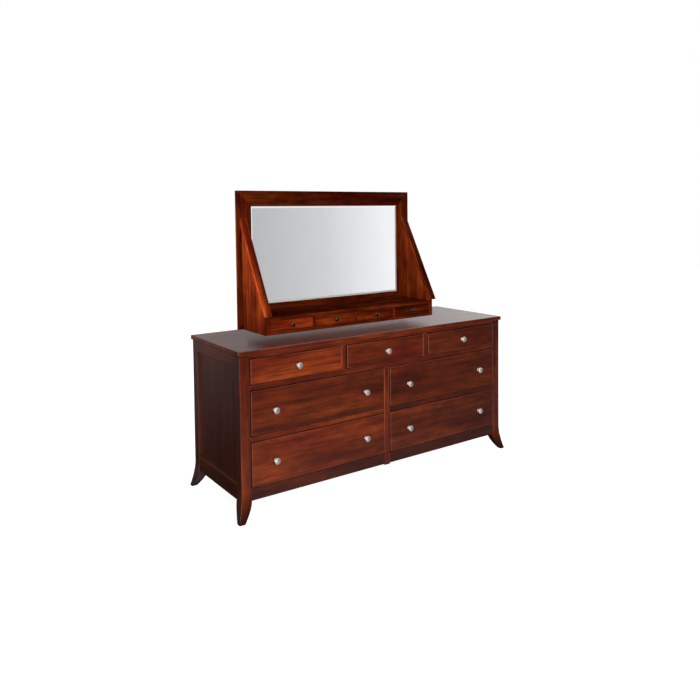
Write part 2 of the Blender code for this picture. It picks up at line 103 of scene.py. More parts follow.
def newMaterial(name):
    material = bpy.data.materials.new(name)
    material.use_nodes = True
    return material, material.node_tree, material.node_tree.nodes["Principled BSDF"]


# Wood

stainedCherry = {  # dark stain rubbed into close-grained cherry: red-brown, cloudy, with soft streaks
    "warm": "#B25020", "plain": "#882F15", "deep": "#571006", "dark": "#2A0804",
    "ringGap": 0.030, "ringTurns": 3.2, "rings": 0.50, "wander": 0.020, "streaks": 0.68, "clouds": 0.26,
    "roughness": (0.26, 0.38), "coat": 0.28, "coatRoughness": 0.16, "specular": 0.5, "bump": 0.05,
    "plank": 0.0,
}
polishedTop = dict(  # rubbed out finer than the fronts, so the walls and the shelf show in it as soft bands
    stainedCherry, plank=0.118, roughness=(0.17, 0.23), coatRoughness=0.15, bump=0.02,
)
sidePanel = dict(  # calmer, quarter-sawn boards in the ends of the case
    stainedCherry, plank=0.118, streaks=0.22, rings=0.18, clouds=0.10, bump=0.02,
)
oiledCherry = dict(  # the mirror and its deck: stain under oil, without lacquer, so deep and more figured
    stainedCherry, streaks=0.76, rings=0.62, clouds=0.34, roughness=(0.44, 0.56), coat=0.0, specular=0.0,
)
sealedMaple = {  # pale maple under a thin sealer: drawer sides, backs and runners
    "warm": "#DCC195", "plain": "#CDAE7F", "deep": "#C29D6C", "dark": "#A98151",
    "ringGap": 0.024, "ringTurns": 2.4, "rings": 0.26, "wander": 0.018, "streaks": 0.26, "clouds": 0.05,
    "roughness": (0.42, 0.55), "coat": 0.0, "coatRoughness": 0.3, "specular": 0.5, "bump": 0.08,
    "plank": 0.0,
}
stainedPlywood = {  # rotary-cut sheet, stained thinly: broad, wandering figure
    "warm": "#93603F", "plain": "#7B4C33", "deep": "#6B3E29", "dark": "#4A2A1B",
    "ringGap": 0.050, "ringTurns": 4.5, "rings": 0.42, "wander": 0.050, "streaks": 0.30, "clouds": 0.08,
    "roughness": (0.48, 0.62), "coat": 0.0, "coatRoughness": 0.3, "specular": 0.4, "bump": 0.08,
    "plank": 0.0,
}
woodFigure = {  # cycles per metre along and across the grain, detail, roughness, and the span spread to 0..1
    "warmth": (1.9, 9.0, 3.0, 0.55, 0.32, 0.68),
    "stain": (1.6, 13.0, 3.0, 0.55, 0.32, 0.68),
    "streak": (3.5, 105.0, 4.0, 0.62, 0.28, 0.72),
    "cloud": (11.0, 26.0, 3.0, 0.55, 0.32, 0.68),
    "ringWidth": (0.9, 22.0, 2.0, 0.55, 0.32, 0.68),
    "ringDepth": (1.9, 16.0, 3.0, 0.55, 0.32, 0.68),
    "fibre": (20.0, 520.0, 2.0, 0.55, 0.32, 0.68),  # several times coarser than real fibres, so that it shows
}
woodBuild = {  # what all the woods share
    "packedStart": (3.1, 0.06, 0.09),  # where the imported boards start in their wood
    "stripShift": (1.37, 0.043, 0.071),  # from one glued strip's wood to the next one's
    "swayScale": (1.6, 5.0, 5.0), "swayDetail": 3.0,  # how the rings wander, in cycles per metre
    "lateWood": -0.4,  # level of the ring wave from which its dark half starts
    "warmth": 1.0, "stain": 0.8, "fibreDepth": 0.26, "fibreBase": 0.87, "poreDepth": 0.0003, "ior": 1.5,
}


def woodMaterial(name, look, packed=False):
    # Reads the boards' own grain and tone, a tone that holds both stain and painted light and shade, or
    # Object coordinates where the imported node stays.
    material, tree, shader = newMaterial(name)
    if packed:
        raw = addNode(tree, "ShaderNodeTexCoord").outputs["Object"]
        feeds = {"Vector": raw, "Location": woodBuild["packedStart"]}
        place = addNode(tree, "ShaderNodeMapping", None, feeds).outputs["Vector"]
        tone = 1.0
    else:
        place = addNode(tree, "ShaderNodeAttribute", {"attribute_name": "grain"}).outputs["Vector"]
        tone = addNode(tree, "ShaderNodeAttribute", {"attribute_name": "tone"}).outputs["Fac"]
    if look["plank"]:  # boards glued edge to edge: each strip gets wood of its own
        strip = addNode(tree, "ShaderNodeSeparateXYZ", None, {0: place}).outputs["Y"]
        strip = addNode(tree, "ShaderNodeMath", divided, {0: strip, 1: look["plank"]}).outputs[0]
        strip = addNode(tree, "ShaderNodeMath", {"operation": "FLOOR"}, {0: strip}).outputs[0]
        feeds = {0: woodBuild["stripShift"], "Scale": strip}
        shift = addNode(tree, "ShaderNodeVectorMath", scaled, feeds).outputs[0]
        place = addNode(tree, "ShaderNodeVectorMath", plus, {0: place, 1: shift}).outputs[0]

    figure = {}
    for label, (along, across, detail, roughness, low, high) in woodFigure.items():
        feeds = {0: place, 1: (along, across, across)}
        fitted = addNode(tree, "ShaderNodeVectorMath", times, feeds).outputs[0]
        feeds = {"Vector": fitted, "Scale": 1.0, "Detail": detail, "Roughness": roughness}
        value = addNode(tree, "ShaderNodeTexNoise", None, feeds).outputs["Fac"]
        feeds = {"Value": value, "From Min": low, "From Max": high}
        figure[label] = addNode(tree, "ShaderNodeMapRange", None, feeds).outputs["Result"]

    sway = addNode(tree, "ShaderNodeVectorMath", times, {0: place, 1: woodBuild["swayScale"]}).outputs[0]
    feeds = {"Vector": sway, "Scale": 1.0, "Detail": woodBuild["swayDetail"]}
    sway = addNode(tree, "ShaderNodeTexNoise", None, feeds).outputs["Color"]
    sway = addNode(tree, "ShaderNodeVectorMath", minus, {0: sway, 1: (0.5, 0.5, 0.5)}).outputs[0]
    feeds = {0: sway, "Scale": look["wander"] * 2}
    sway = addNode(tree, "ShaderNodeVectorMath", scaled, feeds).outputs[0]
    bent = addNode(tree, "ShaderNodeVectorMath", plus, {0: place, 1: sway}).outputs[0]
    flat = addNode(tree, "ShaderNodeVectorMath", times, {0: bent, 1: (0.0, 1.0, 1.0)}).outputs[0]
    radius = addNode(tree, "ShaderNodeVectorMath", {"operation": "LENGTH"}, {0: flat}).outputs["Value"]
    feeds = {0: figure["ringWidth"], 1: look["ringTurns"]}
    uneven = addNode(tree, "ShaderNodeMath", times, feeds).outputs[0]
    feeds = {0: radius, 1: math.tau / look["ringGap"], 2: uneven}
    turns = addNode(tree, "ShaderNodeMath", multiplyAdd, feeds).outputs[0]
    wave = addNode(tree, "ShaderNodeMath", {"operation": "SINE"}, {0: turns}).outputs[0]
    feeds = {"Value": wave, "From Min": woodBuild["lateWood"], "From Max": 1.0}
    late = addNode(tree, "ShaderNodeMapRange", smooth, feeds).outputs["Result"]
    figure["ring"] = addNode(tree, "ShaderNodeMath", times, {0: late, 1: figure["ringDepth"]}).outputs[0]

    colour = toLinear(look["plain"])
    layers = (("warmth", woodBuild["warmth"], "warm"), ("stain", woodBuild["stain"], "deep"),
              ("streak", look["streaks"], "dark"), ("ring", look["rings"], "dark"))
    for label, amount, stain in layers:
        share = addNode(tree, "ShaderNodeMath", times, {0: figure[label], 1: amount}).outputs[0]
        feeds = {0: share, 6: colour, 7: toLinear(look[stain])}
        colour = addNode(tree, "ShaderNodeMix", colourMix, feeds).outputs[2]
    feeds = {0: figure["cloud"], 1: look["clouds"] * 2, 2: 1 - look["clouds"]}
    shade = addNode(tree, "ShaderNodeMath", multiplyAdd, feeds).outputs[0]
    feeds = {0: figure["fibre"], 1: woodBuild["fibreDepth"], 2: woodBuild["fibreBase"]}
    fine = addNode(tree, "ShaderNodeMath", multiplyAdd, feeds).outputs[0]
    for factor in (fine, tone):
        shade = addNode(tree, "ShaderNodeMath", times, {0: shade, 1: factor}).outputs[0]
    colour = addNode(tree, "ShaderNodeVectorMath", scaled, {0: colour, "Scale": shade}).outputs[0]

    low, high = look["roughness"]
    feeds = {"Value": figure["streak"], "To Min": low, "To Max": high}
    rough = addNode(tree, "ShaderNodeMapRange", None, feeds).outputs["Result"]
    height = addNode(tree, "ShaderNodeMath", minus, {0: figure["fibre"], 1: figure["ring"]}).outputs[0]
    feeds = {"Height": height, "Strength": look["bump"], "Distance": woodBuild["poreDepth"]}
    bump = addNode(tree, "ShaderNodeBump", None, feeds).outputs["Normal"]
    tree.links.new(colour, shader.inputs["Base Color"])
    tree.links.new(rough, shader.inputs["Roughness"])
    tree.links.new(bump, shader.inputs["Normal"])
    shader.inputs["IOR"].default_value = woodBuild["ior"]
    shader.inputs["Specular IOR Level"].default_value = look["specular"]
    shader.inputs["Coat Weight"].default_value = look["coat"]
    shader.inputs["Coat Roughness"].default_value = look["coatRoughness"]
    return material


cherry = woodMaterial("cherry_stained_satin_lacquer", stainedCherry)
cherryTop = woodMaterial("cherry_rubbed_out_top", polishedTop)
cherryPanel = woodMaterial("cherry_glued_up_panel", sidePanel)
cherryOiled = woodMaterial("cherry_stained_and_oiled", oiledCherry)
maple = woodMaterial("maple_sealed", sealedMaple)
mapleInside = woodMaterial("maple_sealed_web_frames", sealedMaple, packed=True)
plywood = woodMaterial("plywood_stained", stainedPlywood, packed=True)


# Metal, glass and paint: two tones and a roughness that wander by a noise, in patches per metre

satinNickel = {  # satin nickel plate over a turned casting: a broad, soft, bright highlight
    "patches": 260.0, "detail": 3.0, "tones": ("#DED8CE", "#F0EBE4"), "roughness": (0.50, 0.62),
    "metallic": 1.0,
}
darkPewter = {  # dark pewter plate: the small knobs read nearly black with one hard glint
    "patches": 320.0, "detail": 3.0, "tones": ("#47423D", "#625C55"), "roughness": (0.16, 0.28),
    "metallic": 1.0,
}
silveredGlass = {  # silvered float glass: optically flat, with a breath of haze in its tone
    "patches": 7.0, "detail": 4.0, "tones": ("#F4F6FA", "#FCFCFE"), "roughness": (0.0, 0.0),
    "metallic": 1.0,
}
bevelHighlightGlass = {  # painted highlight: a pale, slightly rough glass that edges the mirror with a pale line, standing in for light caught on a ground and polished bevel
    "patches": 30.0, "detail": 3.0, "tones": ("#E8EEF3", "#FCFEFF"), "roughness": (0.18, 0.18),
    "metallic": 0.0, "ior": 1.52,
}
sealingPaint = {  # the paint that seals the silver behind a mirror: dull grey, slightly patchy
    "patches": 40.0, "detail": 3.0, "tones": ("#33302E", "#454140"), "roughness": (0.7, 0.7),
    "metallic": 0.0,
}


def smoothMaterial(name, look):
    material, tree, shader = newMaterial(name)
    place = addNode(tree, "ShaderNodeTexCoord").outputs["Object"]
    feeds = {"Vector": place, "Scale": look["patches"], "Detail": look["detail"]}
    patch = addNode(tree, "ShaderNodeTexNoise", None, feeds).outputs["Fac"]
    first, second = look["tones"]
    feeds = {0: patch, 6: toLinear(first), 7: toLinear(second)}
    tone = addNode(tree, "ShaderNodeMix", colourMix, feeds).outputs[2]
    tree.links.new(tone, shader.inputs["Base Color"])
    low, high = look["roughness"]
    shader.inputs["Roughness"].default_value = low
    if high > low:
        feeds = {"Value": patch, "To Min": low, "To Max": high}
        rough = addNode(tree, "ShaderNodeMapRange", None, feeds).outputs["Result"]
        tree.links.new(rough, shader.inputs["Roughness"])
    shader.inputs["Metallic"].default_value = look["metallic"]
    if "ior" in look:
        shader.inputs["IOR"].default_value = look["ior"]
    return material


nickel = smoothMaterial("nickel_satin_plated", satinNickel)
pewter = smoothMaterial("pewter_dark_plated", darkPewter)
mirror = smoothMaterial("mirror_silvered_glass", silveredGlass)
backPaint = smoothMaterial("mirror_backing_paint", sealingPaint)
bevelHighlight = smoothMaterial("mirror_bevel_painted_highlight", bevelHighlightGlass)
print("materials made")


# Boards

boardStainAndPaintedShade = {  # each board's tone: partly its own stain, mostly painted light and shade, paler where the light falls strongly at the upper left, darker to the right, low down and under the drawers' fronts; the rest vary a little by chance
    "drawer_front_upper_left": 1.30, "drawer_front_upper_centre": 0.92, "drawer_front_upper_right": 0.85,
    "drawer_front_middle_left": 0.82, "drawer_front_middle_right": 0.69,
    "drawer_front_lower_left": 1.12, "drawer_front_lower_right": 0.74,
    "bottom_rail": 0.48, "post_front_left": 1.0, "post_front_right": 0.72,
    "top_slab": 1.22, "upper_rail": 1.0, "middle_rail_left": 0.95, "middle_rail_right": 0.75,
    "top_rail": 0.85, "side_panel_left": 0.60, "side_panel_right": 0.60, "deck_shelf": 0.62,
    "deck_drawer_1": 1.70, "deck_drawer_2": 1.30, "deck_drawer_3": 1.00, "deck_drawer_4": 0.55,
    "mirror_head": 0.92, "mirror_foot": 0.66, "mirror_left": 0.80, "mirror_right": 0.84,
    "wing_cap_left": 1.80, "wing_cap_right": 0.60, "deck_side_left": 1.0, "deck_side_right": 1.20,
}
boardWork = {
    "toneSpread": (0.92, 1.08),  # each board's tone is multiplied by a number drawn from this span
    "startAlong": (-5, 5), "startAcross": (-0.10, 0.10), "startThrough": (0.05, 0.13),  # place in the tree
    "flatFace": 0.93,  # cosine; a normal that is further from all the board's sides is on an eased edge
    "convex": 0.01,  # radians; only edges that turn outwards by more are eased
    "lengthwise": 0.999,  # cosine; of the mirror's members, only edges this close to the grain are eased
}


def startShape():
    shape = bmesh.new()
    shape.verts.layers.float_vector.new("grain")
    shape.verts.layers.float.new("tone")
    return shape


def layGrain(shape, verts, along, thin, tone, edgeHighlight=1.0):
    # Wood coordinates: metres along the grain, across it and through the board, from the tree's heart.
    grainLayer = shape.verts.layers.float_vector["grain"]
    toneLayer = shape.verts.layers.float["tone"]
    tone *= dice.uniform(*boardWork["toneSpread"])
    across = thin.cross(along)
    middle = sum((v.co for v in verts), Vector()) / len(verts)
    spans = (boardWork[key] for key in ("startAlong", "startAcross", "startThrough"))
    start = Vector([dice.uniform(*span) for span in spans])
    for vert in verts:
        offset = vert.co - middle
        vert[grainLayer] = start + Vector((offset.dot(along), offset.dot(across), offset.dot(thin)))
        flatness = max(abs(vert.normal.dot(way)) for way in (along, across, thin))
        eased = flatness < boardWork["flatFace"]
        vert[toneLayer] = tone * (edgeHighlight if eased else 1.0)  # painted highlight: how much paler the eased edges are made, where light would catch them


def joinOutlines(shape, front, rear):  # closes the space between two outlines, and gives its faces
    faces = [shape.faces.new(front), shape.faces.new(rear[::-1])]
    for i, corner in enumerate(front):
        j = (i + 1) % len(front)
        faces.append(shape.faces.new((corner, rear[i], rear[j], front[j])))
    bmesh.ops.recalc_face_normals(shape, faces=faces)
    return faces


def addPrism(shape, near, depth, along, thin, ease, segments=3, tone=1.0, edgeHighlight=1.0):
    # An outline pushed along a depth, with its convex edges eased.
    old = set(shape.verts)
    front = [shape.verts.new(point) for point in near]
    rear = [shape.verts.new(Vector(point) + depth) for point in near]
    faces = joinOutlines(shape, front, rear)
    if ease:
        around = {edge for face in faces for edge in face.edges}
        edges = [edge for edge in around if edge.calc_face_angle_signed() > boardWork["convex"]]
        bmesh.ops.bevel(shape, geom=edges, offset=ease, segments=segments, profile=0.5, affect="EDGES")
    shape.normal_update()
    layGrain(shape, [v for v in shape.verts if v not in old], along, thin, tone, edgeHighlight)


def addBoard(shape, low, high, along, thin, ease, segments=3, tone=1.0, edgeHighlight=1.0):
    corners = [(low[0], low[1]), (high[0], low[1]), (high[0], high[1]), (low[0], high[1])]
    near = [Vector((x, y, low[2])) for x, y in corners]
    addPrism(shape, near, axisZ * (high[2] - low[2]), along, thin, ease, segments, tone, edgeHighlight)


def flattenFaces(piece):  # keeps broad faces flat beside the eased edges
    weighting = piece.modifiers.new("flatFaces", "WEIGHTED_NORMAL")
    weighting.weight = 100


def finishPiece(piece, node):
    bpy.context.scene.collection.objects.link(piece)
    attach(piece, nodeBody[node])
    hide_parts(node)
    return piece


def finishShape(name, shape, material, node):
    mesh = bpy.data.meshes.new(name)
    shape.to_mesh(mesh)
    shape.free()
    mesh.shade_smooth()
    mesh.materials.append(material)
    piece = bpy.data.objects.new(name, mesh)
    flattenFaces(piece)
    return finishPiece(piece, node)


def boardFromNode(node, along, thin, ease, material=cherry, segments=3, edgeHighlight=1.0):
    shape = startShape()
    low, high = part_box(node)
    addBoard(shape, low, high, along, thin, ease, segments, boardStainAndPaintedShade.get(node, 1.0), edgeHighlight)
    finishShape(node + "_board", shape, material, node)


# Case

caseWork = {
    # stileEdgeHighlight: painted highlight, a paler tone along the stiles' eased edges
    "railEase": 0.0018, "stileEase": 0.0034, "stileEdgeHighlight": 2.4, "slabEase": 0.0045, "railSetback": 0.0015,
    "stileFoot": 0.034, "stileDrop": 0.005,  # the centre stile's foot crosses the bottom rail and hangs below
}


def makeFrontFrame():
    for node in ("top_rail", "upper_rail", "middle_rail_left", "middle_rail_right"):
        boardFromNode(node, axisX, axisY, caseWork["railEase"])
    for node in ("centre_stile", "upper_stile_left", "upper_stile_right"):
        boardFromNode(node, axisZ, axisY, caseWork["stileEase"], segments=2, edgeHighlight=caseWork["stileEdgeHighlight"])
    shape = startShape()
    low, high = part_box("bottom_rail")
    ease = caseWork["railEase"]
    railLow = (low.x, low.y + caseWork["railSetback"], low.z + caseWork["stileDrop"])
    addBoard(shape, railLow, high, axisX, axisY, ease, tone=boardStainAndPaintedShade["bottom_rail"])
    half = caseWork["stileFoot"] / 2
    addBoard(shape, (-half, low.y, low.z), (half, high.y - ease, high.z), axisZ, axisY, ease)
    finishShape("bottom_rail_board", shape, cherry, "bottom_rail")


def makeTop():
    boardFromNode("top_slab", axisX, axisZ, caseWork["slabEase"], cherryTop, segments=5)


sideWork = {"topRail": 0.056, "bottomRail": 0.073, "recess": 0.0125, "tongue": 0.006, "ease": 0.0022,
            "panelEase": 0.0004}


def makeSide(side):
    node = f"side_panel_{side}"
    low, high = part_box(node)
    tone = boardStainAndPaintedShade[node]
    shape = startShape()
    topLow = (low.x, low.y, high.z - sideWork["topRail"])
    bottomHigh = (high.x, high.y, low.z + sideWork["bottomRail"])
    addBoard(shape, topLow, high, axisY, axisX, sideWork["ease"], tone=tone)
    addBoard(shape, low, bottomHigh, axisY, axisX, sideWork["ease"], tone=tone)
    x0, x1 = low.x, high.x
    if side == "left":
        x0 += sideWork["recess"]
    else:
        x1 -= sideWork["recess"]
    panelLow = (x0, low.y, bottomHigh[2] - sideWork["tongue"])
    panelHigh = (x1, high.y, topLow[2] + sideWork["tongue"])
    addBoard(shape, panelLow, panelHigh, axisZ, axisX, sideWork["panelEase"], segments=1, tone=tone)
    finishShape(f"side_{side}", shape, cherryPanel, node)


drawerWork = {"ease": 0.005, "wall": 0.012, "bottom": 0.006, "rise": 0.010, "groove": 0.004,
              "boxEase": 0.0012}


def makeDrawer(name):
    boardFromNode(f"drawer_front_{name}", axisX, axisY, drawerWork["ease"], segments=5)
    node = f"drawer_box_{name}"
    low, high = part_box(node)
    wall, ease = drawerWork["wall"], drawerWork["boxEase"]
    shape = startShape()
    for x0 in (low.x, high.x - wall):
        sideHigh = (x0 + wall, high.y, high.z)
        addBoard(shape, (x0, low.y, low.z), sideHigh, axisY, axisX, ease, segments=2)
    for y0 in (low.y, high.y - wall):
        endHigh = (high.x - wall, y0 + wall, high.z)
        addBoard(shape, (low.x + wall, y0, low.z), endHigh, axisX, axisY, ease, segments=2)
    floor = low.z + drawerWork["rise"]
    inset = wall - drawerWork["groove"]
    panelLow = (low.x + inset, low.y + inset, floor)
    panelHigh = (high.x - inset, high.y - inset, floor + drawerWork["bottom"])
    addBoard(shape, panelLow, panelHigh, axisX, axisZ, ease=0.0)
    finishShape(f"drawer_{name}_tray", shape, maple, node)


# Sabre-footed posts: a square column swept up its height, then drawn outwards near the floor

postWork = {
    "side": 0.050, "ease": 0.0026, "corner": 4, "rings": 110,
    "flareStart": 0.130, "floorGap": 0.089,  # heights at which the outer and the inner faces start to turn
    "flare": 0.022, "tip": 0.028, "power": 1.6, "paintedFootShade": 0.17, "plainTone": 0.9,
    "heart": (0.03, 0.09),  # the post's middle, across the grain from the tree's heart
}


def startTree(name, inputs):  # a shape tree with named inputs, and those inputs for its nodes
    tree = bpy.data.node_groups.new(name, "GeometryNodeTree")
    for label, kind in inputs:
        tree.interface.new_socket(label, in_out="INPUT", socket_type=f"NodeSocket{kind}")
    tree.interface.new_socket("Geometry", in_out="OUTPUT", socket_type="NodeSocketGeometry")
    return tree, addNode(tree, "NodeGroupInput").outputs


def endTree(tree, shape, finish):  # makes the shape real, gives it its finish and hands it out
    whole = addNode(tree, "GeometryNodeRealizeInstances", None, {"Geometry": shape}).outputs[0]
    feeds = {"Geometry": whole, "Material": finish}
    done = addNode(tree, "GeometryNodeSetMaterial", None, feeds).outputs[0]
    addNode(tree, "NodeGroupOutput", None, {0: done})
    return tree


def postTree():
    tree, given = startTree("sabrePost", (
        ("Height", "Float"), ("Side", "Float"), ("Ease", "Float"), ("Rings", "Int"), ("Corner Steps", "Int"),
        ("Flare Start", "Float"), ("Floor Gap", "Float"), ("Flare", "Float"), ("Tip", "Float"),
        ("Power", "Float"), ("Outward X", "Float"), ("Outward Y", "Float"), ("Centre", "Vector"),
        ("Wood Start", "Vector"), ("Tone", "Float"), ("Painted Foot Shade", "Float"), ("Finish", "Material"),
    ))
    top = addNode(tree, "ShaderNodeCombineXYZ", None, {"Z": given["Height"]}).outputs[0]
    line = addNode(tree, "GeometryNodeCurvePrimitiveLine", None, {"Start": (0, 0, 0), "End": top}).outputs[0]
    feeds = {"Curve": line, "Count": given["Rings"]}
    line = addNode(tree, "GeometryNodeResampleCurve", None, feeds).outputs[0]
    feeds = {"Width": given["Side"], "Height": given["Side"]}
    square = addNode(tree, "GeometryNodeCurvePrimitiveQuadrilateral", None, feeds).outputs[0]
    feeds = {"Curve": square, "Radius": given["Ease"], "Count": given["Corner Steps"]}
    soft = addNode(tree, "GeometryNodeFilletCurve", {"mode": "POLY"}, feeds).outputs[0]
    feeds = {"Curve": line, "Profile Curve": soft, "Fill Caps": True}
    swept = addNode(tree, "GeometryNodeCurveToMesh", None, feeds).outputs[0]

    position = addNode(tree, "GeometryNodeInputPosition").outputs[0]
    apart = addNode(tree, "ShaderNodeSeparateXYZ", None, {0: position}).outputs
    feeds = {"X": apart["Z"], "Y": apart["X"], "Z": apart["Y"]}
    grain = addNode(tree, "ShaderNodeCombineXYZ", None, feeds).outputs[0]
    grain = addNode(tree, "ShaderNodeVectorMath", plus, {0: grain, 1: given["Wood Start"]}).outputs[0]
    settings = {"data_type": "FLOAT_VECTOR", "domain": "POINT"}
    feeds = {"Geometry": swept, "Name": "grain", "Value": grain}
    marked = addNode(tree, "GeometryNodeStoreNamedAttribute", settings, feeds).outputs[0]
    # Painted shade: the tone darkens towards the floor, from the flare's start down
    feeds = {"Value": apart["Z"], "From Max": given["Flare Start"],
             "To Min": given["Painted Foot Shade"], "To Max": given["Tone"]}
    darker = addNode(tree, "ShaderNodeMapRange", smooth, feeds).outputs["Result"]
    settings = {"data_type": "FLOAT", "domain": "POINT"}
    feeds = {"Geometry": marked, "Name": "tone", "Value": darker}
    marked = addNode(tree, "GeometryNodeStoreNamedAttribute", settings, feeds).outputs[0]

    drawn = addNode(tree, "ShaderNodeMath", plus, {0: given["Flare"], 1: given["Side"]}).outputs[0]
    drawn = addNode(tree, "ShaderNodeMath", minus, {0: drawn, 1: given["Tip"]}).outputs[0]
    reach = []  # of the inner and the outer faces: from nothing at a start height to full at the floor
    for start, size in ((given["Floor Gap"], drawn), (given["Flare Start"], given["Flare"])):
        below = addNode(tree, "ShaderNodeMath", minus, {0: start, 1: apart["Z"]}).outputs[0]
        settings = {"operation": "DIVIDE", "use_clamp": True}
        share = addNode(tree, "ShaderNodeMath", settings, {0: below, 1: start}).outputs[0]
        feeds = {0: share, 1: given["Power"]}
        curved = addNode(tree, "ShaderNodeMath", {"operation": "POWER"}, feeds).outputs[0]
        reach.append(addNode(tree, "ShaderNodeMath", times, {0: curved, 1: size}).outputs[0])
    shift = {}
    for axis in ("X", "Y"):  # outer faces follow one curve and inner faces the other
        outward = given[f"Outward {axis}"]
        share = addNode(tree, "ShaderNodeMath", times, {0: apart[axis], 1: outward}).outputs[0]
        share = addNode(tree, "ShaderNodeMath", divided, {0: share, 1: given["Side"]}).outputs[0]
        settings = {"operation": "ADD", "use_clamp": True}
        share = addNode(tree, "ShaderNodeMath", settings, {0: share, 1: 0.5}).outputs[0]
        moved = addNode(tree, "ShaderNodeMix", None, {0: share, 2: reach[0], 3: reach[1]}).outputs[0]
        shift[axis] = addNode(tree, "ShaderNodeMath", times, {0: moved, 1: outward}).outputs[0]
    shift = addNode(tree, "ShaderNodeCombineXYZ", None, shift).outputs[0]
    shift = addNode(tree, "ShaderNodeVectorMath", plus, {0: shift, 1: given["Centre"]}).outputs[0]
    bent = addNode(tree, "GeometryNodeSetPosition", None, {"Geometry": marked, "Offset": shift}).outputs[0]
    return endTree(tree, bent, given["Finish"])


def bakeTree(name, tree, values, source=None):
    # Runs a node tree on a curve, or on an empty mesh, and keeps the result as a plain mesh.
    carrier = bpy.data.objects.new(name + "_seed", source or bpy.data.meshes.new("seed"))
    step = carrier.modifiers.new("made", "NODES")
    step.node_group = tree
    for socket in tree.interface.items_tree:
        if socket.in_out == "INPUT" and socket.name in values:
            step[socket.identifier] = values[socket.name]
    bpy.context.scene.collection.objects.link(carrier)
    bpy.context.view_layer.update()
    seen = carrier.evaluated_get(bpy.context.evaluated_depsgraph_get())
    mesh = bpy.data.meshes.new_from_object(seen)
    mesh.name = name
    carrier.modifiers.remove(step)
    bpy.data.objects.remove(carrier)
    return mesh


def makePosts():
    tree = postTree()
    for end, outY in (("front", -1.0), ("rear", 1.0)):
        for side, outX in (("left", -1.0), ("right", 1.0)):
            node = f"post_{end}_{side}"
            low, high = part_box(node)
            corner = Vector((low.x if outX < 0 else high.x, low.y if outY < 0 else high.y, 0.0))
            inset = postWork["flare"] + postWork["side"] / 2
            values = {
                "Height": high.z, "Side": postWork["side"], "Ease": postWork["ease"],
                "Rings": postWork["rings"], "Corner Steps": postWork["corner"],
                "Flare Start": postWork["flareStart"], "Floor Gap": postWork["floorGap"],
                "Flare": postWork["flare"], "Tip": postWork["tip"], "Power": postWork["power"],
                "Outward X": outX, "Outward Y": outY,
                "Centre": corner - Vector((outX, outY, 0.0)) * inset,
                "Wood Start": (dice.uniform(*boardWork["startAlong"]), *postWork["heart"]),
                "Tone": boardStainAndPaintedShade.get(node, postWork["plainTone"]), "Painted Foot Shade": postWork["paintedFootShade"],
                "Finish": cherry,
            }
            mesh = bakeTree(node + "_leg", tree, values)
            mesh.shade_smooth()
            leg = bpy.data.objects.new(node + "_leg", mesh)
            flattenFaces(leg)
            finishPiece(leg, node)


# Mirror and its deck

mirrorWork = {"face": 0.083, "footRail": 0.124, "ease": 0.0011, "rabbet": 0.008, "rabbetDepth": 0.0081}


def addMitred(shape, start, end, inward, wide, startSlope, endSlope, depth, tone):
    # One member of the frame: its section is swept from mitre to mitre, with the rabbet for the glass behind.
    old = set(shape.verts)
    along = (end - start).normalized()
    lip = wide - mirrorWork["rabbet"]
    back = depth - mirrorWork["rabbetDepth"]
    section = [(0, 0), (wide, 0), (wide, back), (lip, back), (lip, depth), (0, depth)]
    rings = []
    for origin, slope, way in ((start, startSlope, 1), (end, endSlope, -1)):
        points = [origin + inward * w + axisY * d + along * (w * slope * way) for w, d in section]
        rings.append([shape.verts.new(point) for point in points])
    edges = {edge for face in joinOutlines(shape, *rings) for edge in face.edges}
    eased = []
    for edge in edges:
        direction = (edge.verts[1].co - edge.verts[0].co).normalized()
        lengthwise = abs(direction.dot(along)) > boardWork["lengthwise"]
        if lengthwise and edge.calc_face_angle_signed() > boardWork["convex"]:
            eased.append(edge)
    bmesh.ops.bevel(shape, geom=eased, offset=mirrorWork["ease"], segments=3, profile=0.5, affect="EDGES")
    layGrain(shape, [v for v in shape.verts if v not in old], along, axisY, tone)


def makeMirror():
    low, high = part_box("mirror_frame")
    face, foot = mirrorWork["face"], mirrorWork["footRail"]
    depth = high.y - low.y
    bottomLeft = Vector((low.x, low.y, low.z))
    bottomRight = Vector((high.x, low.y, low.z))
    topLeft = Vector((low.x, low.y, high.z))
    topRight = Vector((high.x, low.y, high.z))
    members = (  # name, ends, way to the glass, width and the slopes of its two mitres
        ("mirror_head", topLeft, topRight, -axisZ, face, 1.0, 1.0),
        ("mirror_foot", bottomLeft, bottomRight, axisZ, foot, face / foot, face / foot),
        ("mirror_left", bottomLeft, topLeft, axisX, face, foot / face, 1.0),
        ("mirror_right", bottomRight, topRight, -axisX, face, foot / face, 1.0),
    )
    shape = startShape()
    for name, *place in members:
        addMitred(shape, *place, depth, boardStainAndPaintedShade[name])
    finishShape("mirror_frame_members", shape, cherryOiled, "mirror_frame")


glassWork = {
    "bevel": 0.0105, "rise": 0.00115,
    "finishes": (mirror, backPaint, bevelHighlight), "back": 1,
    "facets": (2, 2, 0, 0),  # finish of the bevel's foot, right, head and left: the first two get the pale painted highlight, the other two stay mirror
}


